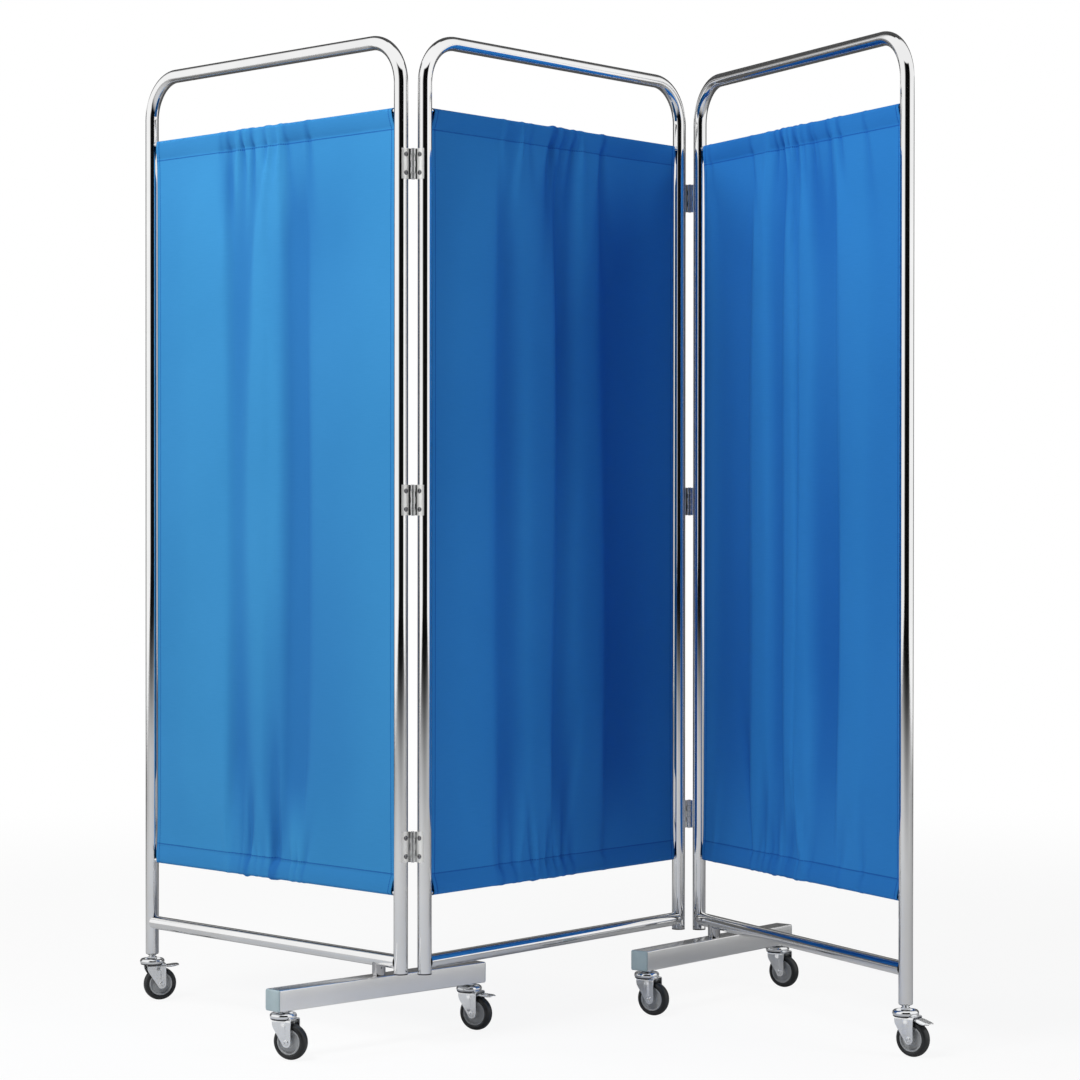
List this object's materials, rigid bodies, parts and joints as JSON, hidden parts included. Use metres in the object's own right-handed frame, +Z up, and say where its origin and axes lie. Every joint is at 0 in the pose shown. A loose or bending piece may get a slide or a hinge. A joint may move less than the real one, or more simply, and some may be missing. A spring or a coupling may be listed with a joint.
{
  "type": "hospital privacy screen",
  "caption": "Folding privacy screen on castors: hinged chrome tube panels in a zigzag, each with blue gathered cloth on rods, and foot bars that turn on posts.",
  "frame": {"origin": "on the floor, below the middle of the centre panel", "axes": "+X along the centre panel from the left hinge to the right one, +Y square to it on the side where the left panel folds out, +Z up"},
  "size_m": [1.245, 1.5555, 1.8],
  "materials": {
    "chromed_tube": "polished chrome plate",
    "hinge_steel": "bright plated pressing",
    "bright_fixings": "bright zinc plate",
    "satin_bar": "satin, fine brushing along the bar",
    "pressed_fork": "bright zinc plate",
    "polished_race": "polished",
    "blue_cloth": "plain woven cloth with a soft sheen",
    "grey_cap": "moulded, blue grey",
    "wheel_hub": "moulded, mid grey",
    "dark_plug": "moulded, near black",
    "tyre_rubber": "smooth rubber"
  },
  "bodies": {
    "centre_panel": {"centre_frame": "chromed_tube", "centre_crossbar": "chromed_tube", "centre_curtain_rods": "chromed_tube", "centre_curtain": "blue_cloth", "centre_hinge_leaves": "hinge_steel", "centre_hinge_screws": "bright_fixings", "centre_tube_plugs": "dark_plug"},
    "left_panel": {"left_frame": "chromed_tube", "left_crossbar": "chromed_tube", "left_curtain_rods": "chromed_tube", "left_curtain": "blue_cloth", "left_hinge_leaves": "hinge_steel", "left_hinge_pins": "bright_fixings", "left_hinge_screws": "bright_fixings", "left_tube_plug": "dark_plug", "left_foot_post": "chromed_tube", "left_outer_castor_mount": "polished_race"},
    "left_foot": {"left_foot_bar": "satin_bar", "left_foot_caps": "grey_cap", "left_foot_castor_mounts": "polished_race"},
    "right_panel": {"right_frame": "chromed_tube", "right_crossbar": "chromed_tube", "right_curtain_rods": "chromed_tube", "right_curtain": "blue_cloth", "right_hinge_leaves": "hinge_steel", "right_hinge_pins": "bright_fixings", "right_hinge_screws": "bright_fixings", "right_tube_plug": "dark_plug", "right_foot_post": "chromed_tube", "right_outer_castor_mount": "polished_race"},
    "right_foot": {"right_foot_bar": "satin_bar", "right_foot_caps": "grey_cap", "right_foot_castor_mounts": "polished_race"},
    "left_outer_castor": {"left_outer_castor_fork": "pressed_fork", "left_outer_castor_axle": "bright_fixings"},
    "left_outer_wheel": {"left_outer_castor_hub": "wheel_hub", "left_outer_castor_tyre": "tyre_rubber"},
    "left_outer_brake": {"left_outer_castor_brake_pedal": "pressed_fork"},
    "left_foot_near_castor": {"left_foot_near_castor_fork": "pressed_fork", "left_foot_near_castor_axle": "bright_fixings"},
    "left_foot_near_wheel": {"left_foot_near_castor_hub": "wheel_hub", "left_foot_near_castor_tyre": "tyre_rubber"},
    "left_foot_far_castor": {"left_foot_far_castor_fork": "pressed_fork", "left_foot_far_castor_axle": "bright_fixings"},
    "left_foot_far_wheel": {"left_foot_far_castor_hub": "wheel_hub", "left_foot_far_castor_tyre": "tyre_rubber"},
    "left_foot_far_brake": {"left_foot_far_castor_brake_pedal": "pressed_fork"},
    "right_foot_near_castor": {"right_foot_near_castor_fork": "pressed_fork", "right_foot_near_castor_axle": "bright_fixings"},
    "right_foot_near_wheel": {"right_foot_near_castor_hub": "wheel_hub", "right_foot_near_castor_tyre": "tyre_rubber"},
    "right_foot_far_castor": {"right_foot_far_castor_fork": "pressed_fork", "right_foot_far_castor_axle": "bright_fixings"},
    "right_foot_far_wheel": {"right_foot_far_castor_hub": "wheel_hub", "right_foot_far_castor_tyre": "tyre_rubber"},
    "right_outer_castor": {"right_outer_castor_fork": "pressed_fork", "right_outer_castor_axle": "bright_fixings"},
    "right_outer_wheel": {"right_outer_castor_hub": "wheel_hub", "right_outer_castor_tyre": "tyre_rubber"},
    "right_outer_brake": {"right_outer_castor_brake_pedal": "pressed_fork"}
  },
  "joints": [
    {"name": "left_panel_fold", "type": "hinge", "parent": "centre_panel", "child": "left_panel", "pos_m": [-0.387, 0.0139, 0.971], "axis": [0, 0, 1], "range_deg": [-83.1, 96.9]},
    {"name": "right_panel_fold", "type": "hinge", "parent": "centre_panel", "child": "right_panel", "pos_m": [0.387, -0.0139, 0.971], "axis": [0, 0, 1], "range_deg": [-66.1, 113.9]},
    {"name": "left_foot_swivel", "type": "hinge", "parent": "left_panel", "child": "left_foot", "pos_m": [-0.39167, 0.09102, 0.1235], "axis": [0, 0, 1], "range_deg": [0, 90]},
    {"name": "right_foot_swivel", "type": "hinge", "parent": "right_panel", "child": "right_foot", "pos_m": [0.36892, -0.08901, 0.1235], "axis": [0, 0, 1], "range_deg": [-24.5, 65.5]},
    {"name": "left_outer_castor_swivel", "type": "hinge", "parent": "left_panel", "child": "left_outer_castor", "pos_m": [-0.30974, 0.76808, 0.07], "axis": [0, 0, 1], "continuous": true},
    {"name": "left_outer_wheel_roll", "type": "hinge", "parent": "left_outer_castor", "child": "left_outer_wheel", "pos_m": [-0.29674, 0.76058, 0.03175], "axis": [0.5, 0.866, 0], "continuous": true},
    {"name": "left_outer_brake_press", "type": "hinge", "parent": "left_outer_castor", "child": "left_outer_brake", "pos_m": [-0.29934, 0.76208, 0.058], "axis": [0.5, 0.866, 0], "range_deg": [0, 10]},
    {"name": "left_foot_near_castor_swivel", "type": "hinge", "parent": "left_foot", "child": "left_foot_near_castor", "pos_m": [-0.60611, 0.11697, 0.07], "axis": [0, 0, 1], "continuous": true},
    {"name": "left_foot_near_wheel_roll", "type": "hinge", "parent": "left_foot_near_castor", "child": "left_foot_near_wheel", "pos_m": [-0.60222, 0.10248, 0.03175], "axis": [0.9659, 0.2588, 0], "continuous": true},
    {"name": "left_foot_far_castor_swivel", "type": "hinge", "parent": "left_foot", "child": "left_foot_far_castor", "pos_m": [-0.17723, 0.06507, 0.07], "axis": [0, 0, 1], "continuous": true},
    {"name": "left_foot_far_wheel_roll", "type": "hinge", "parent": "left_foot_far_castor", "child": "left_foot_far_wheel", "pos_m": [-0.17437, 0.05035, 0.03175], "axis": [0.9816, 0.1908, 0], "continuous": true},
    {"name": "left_foot_far_brake_press", "type": "hinge", "parent": "left_foot_far_castor", "child": "left_foot_far_brake", "pos_m": [-0.17494, 0.05329, 0.058], "axis": [0.9816, 0.1908, 0], "range_deg": [0, 10]},
    {"name": "right_foot_near_castor_swivel", "type": "hinge", "parent": "right_foot", "child": "right_foot_near_castor", "pos_m": [0.15293, -0.09128, 0.07], "axis": [0, 0, 1], "continuous": true},
    {"name": "right_foot_near_wheel_roll", "type": "hinge", "parent": "right_foot_near_castor", "child": "right_foot_near_wheel", "pos_m": [0.15502, -0.10613, 0.03175], "axis": [0.9903, 0.1392, 0], "continuous": true},
    {"name": "right_foot_far_castor_swivel", "type": "hinge", "parent": "right_foot", "child": "right_foot_far_castor", "pos_m": [0.58491, -0.08675, 0.07], "axis": [0, 0, 1], "continuous": true},
    {"name": "right_foot_far_wheel_roll", "type": "hinge", "parent": "right_foot_far_castor", "child": "right_foot_far_wheel", "pos_m": [0.58621, -0.1017, 0.03175], "axis": [0.9962, 0.0872, 0], "continuous": true},
    {"name": "right_outer_castor_swivel", "type": "hinge", "parent": "right_panel", "child": "right_outer_castor", "pos_m": [0.09261, -0.71254, 0.07], "axis": [0, 0, 1], "continuous": true},
    {"name": "right_outer_wheel_roll", "type": "hinge", "parent": "right_outer_castor", "child": "right_outer_wheel", "pos_m": [0.0934, -0.72752, 0.03175], "axis": [0.9986, 0.0523, 0], "continuous": true},
    {"name": "right_outer_brake_press", "type": "hinge", "parent": "right_outer_castor", "child": "right_outer_brake", "pos_m": [0.09324, -0.72452, 0.058], "axis": [0.9986, 0.0523, 0], "range_deg": [0, 10]}
  ]
}
